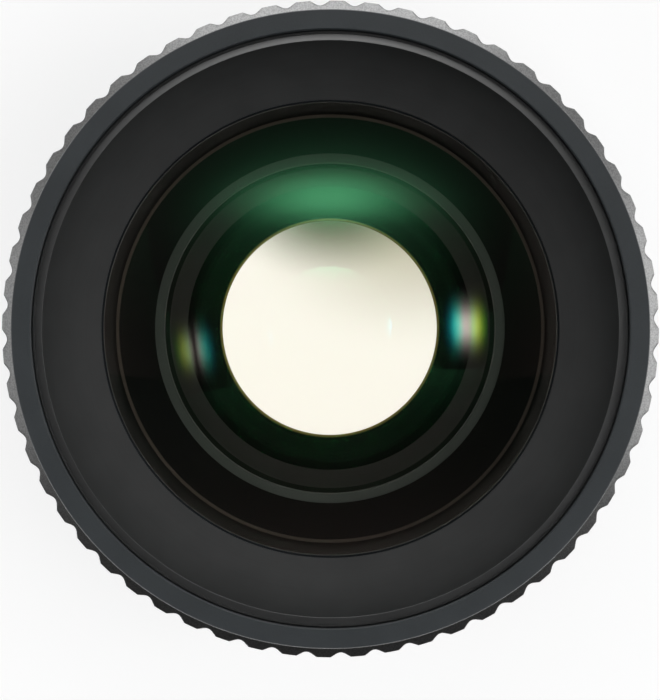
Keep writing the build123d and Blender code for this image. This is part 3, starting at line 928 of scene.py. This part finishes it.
class LENS_OT_front_cell(bpy.types.Operator):
    """Make the black cell, the thin ring before the glass and the baffle behind it"""

    bl_idname = "lens.front_cell"
    bl_label = "Front cell and baffle"

    def execute(self, context):
        front = context.scene.lens_front
        colours = context.scene.lens_finish
        black = black_inside(colours)
        outline = band_outline("front_retaining_ring", front.ring_opening, 0.04 * MM)
        material = anodised("retaining_ring_black", colours.band, 0.6, 0.3e-6, 0.4e-6, 0.35, 0.08)
        add_turned("front_retaining_ring_turned", outline, material, "front_retaining_ring")
        dress("front_cell", black)
        dress("cell_lock_ring", black)
        self.baffle(front, colours)
        return {"FINISHED"}

    def baffle(self, front, colours):
        """The funnel between the two groups, with fine anti-glare grooves and a painted brown glint on its
        front edge.
        """
        outer, low, high = extent("baffle_cone")
        lean = (front.baffle_front - front.baffle_rear) / (high - low)
        groove = 0.12 * MM
        pitch = (high - low) / front.baffle_grooves
        inside = []
        for step in range(front.baffle_grooves, -1, -1):
            height = low + pitch * step
            radius = front.baffle_rear + lean * (height - low)
            inside.append((radius, height))
            if step:
                inside.append((radius + groove - lean * groove, height - 0.4 * pitch))
        outline = [
            (front.baffle_rear, low),
            (outer, low),
            (outer, low + front.baffle_foot),
            (front.baffle_rear + front.baffle_wall + lean * front.baffle_foot, low + front.baffle_foot),
            (front.baffle_front + front.baffle_wall - lean * front.baffle_foot, high - front.baffle_foot),
            (outer, high - front.baffle_foot),
            (outer, high),
        ]
        # Painted highlight: the top 0.04 mm of the baffle takes the brown glint colour.
        edge = high - 0.04 * MM
        material = inner_finish(
            "baffle_black_painted_glint",
            colours.inner,
            colours.painted_ledge_glint,
            lambda finish: finish.axes()[2].rises(edge - 0.02 * MM, edge),
        )
        add_turned("baffle_cone_grooved", outline + inside[:-1], material, "baffle_cone")


class LENS_OT_rear_glass(bpy.types.Operator):
    """Make the meniscus and the rear glass"""

    bl_idname = "lens.rear_glass"
    bl_label = "Rear glasses"

    def execute(self, context):
        rear = context.scene.lens_rear
        colours = context.scene.lens_finish
        edge_break = context.scene.lens_front.glass_edge_break
        material = glass_finish("inner_glass_coated", colours.inner_coating, REAR_GLASS_BODY, REAR_INDEX)
        outer, seat, vertex = extent("mid_element")
        hollow = outer - rear.meniscus_land
        hollow_vertex = seat + sphere_drop(rear.meniscus_rear_curve, hollow)
        bulge = face_points(
            lambda radius: vertex - sphere_drop(rear.meniscus_front_curve, radius), 0.0, outer - edge_break
        )
        pit = face_points(
            lambda radius: hollow_vertex - sphere_drop(rear.meniscus_rear_curve, radius), hollow, 0.0
        )
        outline = bulge + [(outer, bulge[-1][1] - edge_break), (outer, seat)] + pit
        add_turned("meniscus", outline, material, "mid_element", 300)
        outer = reach("rear_element")
        flat = bottom("rear_element")
        vertex = top("rear_element") - sphere_drop(rear.rear_glass_curve, outer)
        face = face_points(lambda radius: vertex + sphere_drop(rear.rear_glass_curve, radius), 0.0, outer)
        outline = face + [(outer, flat), (0.0, flat)]
        add_turned("rear_glass", outline, material, "rear_element", 300)
        return {"FINISHED"}


class LENS_OT_rear_rings(bpy.types.Operator):
    """Make the grey-green ring, the spacer and the stop ring"""

    bl_idname = "lens.rear_rings"
    bl_label = "Rear rings"

    def execute(self, context):
        rear = context.scene.lens_rear
        colours = context.scene.lens_finish
        self.mid_ring(rear, colours)
        self.spacer(rear, colours)
        self.stop_ring(rear, colours)
        dress("focus_shim", metal_finish("shim_brass_rolled", colours.brass, 0.25))
        return {"FINISHED"}

    def mid_ring(self, rear, colours):
        """The grey-green ring that holds the meniscus."""
        opening = reach("mid_element") - rear.ring_reach
        outer, low, high = extent("mid_retaining_ring")
        vertex = top("mid_element")

        def glass_face(radius):
            """Height of the meniscus under the ring."""
            return vertex - sphere_drop(rear.meniscus_front_curve, radius)

        outline = rounded(
            [
                (outer, low),
                (outer, high - rear.ring_slope),
                (opening + 0.1 * MM, high),
                (opening, high - 0.1 * MM),
                (opening, glass_face(opening)),
            ],
            0.03 * MM,
        )
        outline += face_points(glass_face, opening, outer - rear.ring_foot, SEAT_STEPS)[1:]
        material = anodised("ring_grey_green_satin", colours.ring, 0.4, 0.6e-6, 0.6e-6)
        add_turned("mid_retaining_ring_turned", outline, material, "mid_retaining_ring")

    def spacer(self, rear, colours):
        """The conical ring between the rear glasses."""
        outer = reach("mid_spacer")
        high = top("mid_spacer")
        inner = outer - rear.spacer_wall
        seat = reach("mid_element") - rear.meniscus_land
        vertex = top("rear_element") - sphere_drop(rear.rear_glass_curve, outer)

        def glass_face(radius):
            """Height of the rear glass under the spacer."""
            return vertex + sphere_drop(rear.rear_glass_curve, radius)

        outline = [(outer, glass_face(outer)), (outer, high), (seat, high)]
        outline += face_points(glass_face, inner, outer, SEAT_STEPS)[:-1]
        material = anodised("spacer_satin", colours.spacer, 0.55, 0.5e-6, 0.5e-6, 0.35, 0.15)
        add_turned("mid_spacer_turned", outline, material, "mid_spacer")

    def stop_ring(self, rear, colours):
        """The ring whose opening is the clear aperture, with a painted brown glint on its edge."""
        outer, low, high = extent("rear_stop_ring")
        outline = rounded(
            [
                (rear.stop_radius, low),
                (outer, low),
                (outer, high),
                (rear.stop_funnel, high),
                (rear.stop_radius, low + rear.stop_land),
            ],
            0.02 * MM,
        )
        # Painted highlight: the stop ring takes the brown glint colour within about 0.16 mm of the aperture's
        # edge.
        edge = rear.stop_radius + 0.16 * MM
        material = inner_finish(
            "stop_ring_black_painted_glint",
            colours.inner,
            colours.painted_stop_glint,
            lambda finish: 1 - finish.radius().rises(edge - 0.1 * MM, edge),
        )
        add_turned("rear_stop_ring_turned", outline, material, "rear_stop_ring")


class LENS_OT_mount(bpy.types.Operator):
    """Make the threaded mount and its rubber washer"""

    bl_idname = "lens.mount"
    bl_label = "Rear mount"

    def execute(self, context):
        mount = context.scene.lens_mount
        colours = context.scene.lens_finish
        mesh = thread_mesh(mount, "mount_adapter_threaded", satin_black(colours))
        add_piece("mount_adapter_threaded", mesh, ["mount_adapter"])
        rubber = rubber_finish(colours.rubber)
        inner = mount.thread_radius - mount.relief_depth + 0.02 * MM
        outline = band_outline("mount_cushion_ring", inner, 0.18 * MM)
        add_turned("mount_cushion_soft", outline, rubber, "mount_cushion_ring")
        dress("front_gasket", rubber)
        dress("cell_seal_ring", rubber)
        return {"FINISHED"}


class LENS_OT_screws(bpy.types.Operator):
    """Finish the mount screws and the grub screws"""

    bl_idname = "lens.screws"
    bl_label = "Screws"

    def execute(self, context):
        steel = metal_finish("screw_steel_black", context.scene.lens_finish.steel, 0.32)
        dress("mount_screws", steel)
        dress("grub_screws", steel)
        return {"FINISHED"}


class LENS_OT_stage(bpy.types.Operator):
    """Set up the camera, the lamps and the floor"""

    bl_idname = "lens.stage"
    bl_label = "Stage"

    def execute(self, context):
        stage = context.scene.lens_stage
        self.camera(context.scene, stage)
        self.world(context.scene)
        self.floor(stage)
        self.key(stage)
        self.strip("right_strip", stage, 1.0, stage.right_strip, 0.0)
        self.strip("left_strip", stage, 189.0, stage.left_strip, 0.85)
        self.panel("top_panel", stage, 90.0, stage.top_panel, 0.5)
        self.panel("right_panel", stage, 0.0, stage.right_panel, 0.34)
        self.panel("left_panel", stage, 180.0, stage.left_panel, 0.34)
        self.overhead(stage)
        context.scene.view_settings.view_transform = "Standard"
        return {"FINISHED"}

    def camera(self, scene, stage):
        """The camera looks straight down the optical axis."""
        data = bpy.data.cameras.new("front_camera")
        data.lens = stage.focal_length
        data.sensor_width = 36.0
        data.shift_x = stage.shift_right
        data.shift_y = stage.shift_up
        data.clip_start = 0.01
        camera = bpy.data.objects.new("front_camera", data)
        camera.location = (stage.camera_right, stage.camera_up, stage.camera_height)
        scene.collection.objects.link(camera)
        scene.camera = camera

    def world(self, scene):
        """Dim room light, brighter beyond the picture's top than below it."""
        world = bpy.data.worlds.new("room")
        scene.world = world
        finish = Finish(world)
        direction = finish.node("ShaderNodeTexCoord", output="Generated")
        x = finish.node("ShaderNodeSeparateXYZ", None, {0: direction})
        y = x.other("Y")
        z = x.other("Z")
        band = z.bell(0.9, 0.045) * y.rises(-0.35, 0.15)
        strength = 0.008 + y.rises(-0.1, 1.0) * 0.2 + band * 0.5
        glow = finish.scaled((1, 1, 1), strength)
        shader = finish.node("ShaderNodeBackground", None, {"Color": glow, "Strength": 1.0})
        finish.output(shader, "ShaderNodeOutputWorld")

    def floor(self, stage):
        """A pale round floor that curves up into a low wall. Under the lens its paper has painted light and
        shade: it glows brighter and warmer, with painted shade towards the picture's upper right and a
        painted shadow towards its top. The far floor and wall have painted shade, darker towards the
        picture's bottom.
        """
        flat = FLOOR_RADIUS - FLOOR_COVE
        steps = 12
        outline = [(0.0, 0.0), (flat, 0.0)]
        for step in range(1, steps + 1):
            angle = pi / 2 * step / steps
            outline.append((flat + FLOOR_COVE * sin(angle), FLOOR_COVE * (1 - cos(angle))))
        outline.append((FLOOR_RADIUS, FLOOR_WALL))
        finish = new_finish("floor_paper")
        x, y, _ = finish.axes()
        radius = (x * x + y * y) ** 0.5

        def oval(middle, half_size):
            """Distance from an oval's middle, 1 at its edge."""
            across = (x - middle[0]) / half_size[0]
            along = (y - middle[1]) / half_size[1]
            return (across ** 2 + along ** 2) ** 0.5

        # Painted light: inside this patch the paper under the lens glows brighter and warmer.
        under = 1 - radius.rises(10.0 * MM, 13.0 * MM)
        # Painted shade towards the picture's upper right and a painted shadow towards its top, on the paper
        # under the lens.
        upper_shade = 1 - oval((6 * MM, 9 * MM), (11 * MM, 9 * MM)).rises(0.2, 1.25)
        dark = 1 - oval((0.0, 8.6 * MM), (7.5 * MM, 5.0 * MM)).rises(0.15, 1.15)
        upper_shaded = finish.mix(upper_shade * 0.8, stage.painted_light_under, stage.floor_painted_shade)
        paper = finish.mix(dark, upper_shaded, stage.floor_shade)
        far = radius.rises(0.07, 0.13)
        # Painted shade on the far floor and wall, darker towards the picture's bottom than towards its top.
        room = finish.mix(y.rises(-0.1, 0.3), stage.far_shade_below, stage.far_shade_above)
        seen = finish.mix(under, finish.mix(far, WHITE, room), paper)
        lit_up = finish.mix(under, finish.mix(far, stage.floor, room), paper)
        diffuse = finish.node("ShaderNodeBsdfDiffuse", None, {"Color": lit_up})
        # Painted light: the paper under the lens glows a third brighter than the rest of the floor.
        glow = finish.glow(seen, 1.0 + under * 0.3)
        path = finish.node("ShaderNodeLightPath", output="Is Camera Ray")
        direct = path.math("MAXIMUM", path, path.other("Is Glossy Ray"))
        direct = direct.math("MAXIMUM", direct, path.other("Is Transmission Ray"))
        share = direct * (0.78 + under * 0.1)
        material = finish.output(finish.node("ShaderNodeMixShader", None, {0: share, 1: diffuse, 2: glow}))
        mesh = turned("floor", outline, material, 96, False)
        floor = bpy.data.objects.new("floor", mesh)
        floor.location.z = -0.03 * MM
        bpy.context.scene.collection.objects.link(floor)
        if mesh.polygons[0].normal.z < 0:
            mesh.flip_normals()

    def lit_panel(self, name, place, width, height, emission):
        """A flat lamp panel at this place, turned to the lens, whose light is given by its own surface."""
        finish = new_finish(name + "_light")
        strength, tint = emission(finish)
        material = finish.output(finish.glow(tint, strength))
        mesh = bpy.data.meshes.new(name)
        sides = ((-1, -1), (1, -1), (1, 1), (-1, 1))
        mesh.from_pydata([(x * width / 2, y * height / 2, 0) for x, y in sides], [], [(0, 1, 2, 3)])
        mesh.materials.append(material)
        panel = bpy.data.objects.new(name, mesh)
        panel.location = place
        panel.rotation_euler = (place - RIM).to_track_quat("Z", "Y").to_euler()
        panel.visible_camera = False
        panel.visible_diffuse = name == "key_softbox"
        bpy.context.scene.collection.objects.link(panel)

    def at(self, tilt, azimuth, distance):
        """A place at this tilt from the axis and this azimuth, at this distance from the rim."""
        turned_to = radians(azimuth)
        outwards = Vector((sin(tilt) * cos(turned_to), sin(tilt) * sin(turned_to), cos(tilt)))
        return RIM + outwards * distance

    def key(self, stage):
        """The overhead softbox, brightest in its middle."""

        def emission(finish):
            """Bright middle and a wide dim skirt."""
            x, y, _ = finish.axes()
            middle = x.bell(0.0, 0.105) * y.bell(0.0, 0.036)
            skirt = x.bell(0.0, 0.2) * y.bell(0.0, 0.1)
            return middle * stage.key_glow + skirt * stage.key_skirt, WHITE

        self.lit_panel("key_softbox", self.at(stage.key_tilt, 90.0, KEY_DISTANCE), *KEY_SIZE, emission)

    def strip(self, name, stage, azimuth, strength, gap):
        """A narrow soft light that breaks into colours: teal on its inner side, olive on its outer side."""

        def emission(finish):
            """Bright middle with coloured sides and, where it has one, a dark gap."""
            x, y, _ = finish.axes()
            red = y.bell(-0.008, 0.012) * 48 + y.bell(-0.026, 0.009) * 28
            green = y.bell(0.004, 0.012) * 11 + y.bell(-0.021, 0.014) * 11
            blue = y.bell(0.006, 0.012) * 17 + y.bell(-0.012, 0.013) * 15
            tint = finish.node("ShaderNodeCombineColor", None, {0: red, 1: green, 2: blue})
            mirrored = finish.node("ShaderNodeLightPath", output="Is Singular Ray")
            return x.bell(0.0, 0.026) * (1 - y.bell(-0.009, 0.005) * gap) * mirrored * strength, tint

        self.lit_panel(name, self.at(stage.key_tilt, azimuth, KEY_DISTANCE), *STRIP_SIZE, emission)

    def lamp(self, name, place, aim, width, height, power):
        """A rectangular lamp that isn't seen itself, turned to what it aims at."""
        data = bpy.data.lights.new(name, "AREA")
        data.shape = "RECTANGLE"
        data.size = width
        data.size_y = height
        data.energy = power
        lamp = bpy.data.objects.new(name, data)
        lamp.location = place
        lamp.rotation_euler = (lamp.location - aim).to_track_quat("Z", "Y").to_euler()
        lamp.visible_camera = False
        lamp.visible_transmission = False
        bpy.context.scene.collection.objects.link(lamp)
        return lamp

    def overhead(self, stage):
        """A wide soft light from above and the upper right, for the floor and its shadow."""
        lamp = self.lamp("overhead", OVERHEAD_PLACE, Vector(), OVERHEAD_SIZE, OVERHEAD_SIZE, stage.overhead)
        lamp.visible_glossy = False

    def panel(self, name, stage, azimuth, brightness, width):
        """A large soft panel low beside the lens."""
        place = self.at(stage.panel_tilt, azimuth, PANEL_DISTANCE)
        self.lamp(name, place, RIM, width, PANEL_HEIGHT, brightness * pi * width * PANEL_HEIGHT)


OPERATORS = [
    LENS_OT_stage,
    LENS_OT_grip_ring,
    LENS_OT_barrel,
    LENS_OT_dish_ring,
    LENS_OT_front_glass,
    LENS_OT_front_cell,
    LENS_OT_rear_glass,
    LENS_OT_rear_rings,
    LENS_OT_mount,
    LENS_OT_screws,
]

SETTINGS = {
    "lens_grip": GripSettings,
    "lens_front": FrontSettings,
    "lens_rear": RearSettings,
    "lens_mount": MountSettings,
    "lens_finish": FinishSettings,
    "lens_stage": StageSettings,
}


class LENS_PT_sidebar(bpy.types.Panel):
    """Panel that lists the operators and their settings"""

    bl_idname = "LENS_PT_sidebar"
    bl_label = "Converter lens"
    bl_space_type = "VIEW_3D"
    bl_region_type = "UI"
    bl_category = "Converter lens"

    def draw(self, context):
        for operator in OPERATORS:
            self.layout.operator(operator.bl_idname)
        for name, group in SETTINGS.items():
            box = self.layout.box()
            for key in group.__annotations__:
                box.prop(getattr(context.scene, name), key)


def register():
    """Registers the settings, the operators and the panel."""
    for name, group in SETTINGS.items():
        bpy.utils.register_class(group)
        setattr(bpy.types.Scene, name, PointerProperty(type=group))
    for operator in OPERATORS:
        bpy.utils.register_class(operator)
    bpy.utils.register_class(LENS_PT_sidebar)


def unregister():
    """Takes the panel, the operators and the settings out again."""
    bpy.utils.unregister_class(LENS_PT_sidebar)
    for operator in reversed(OPERATORS):
        bpy.utils.unregister_class(operator)
    for name, group in SETTINGS.items():
        delattr(bpy.types.Scene, name)
        bpy.utils.unregister_class(group)


def main():
    """Builds every piece."""
    register()
    for operator in OPERATORS:
        group, action = operator.bl_idname.split(".")
        getattr(getattr(bpy.ops, group), action)()


if __name__ == "__main__":
    main()
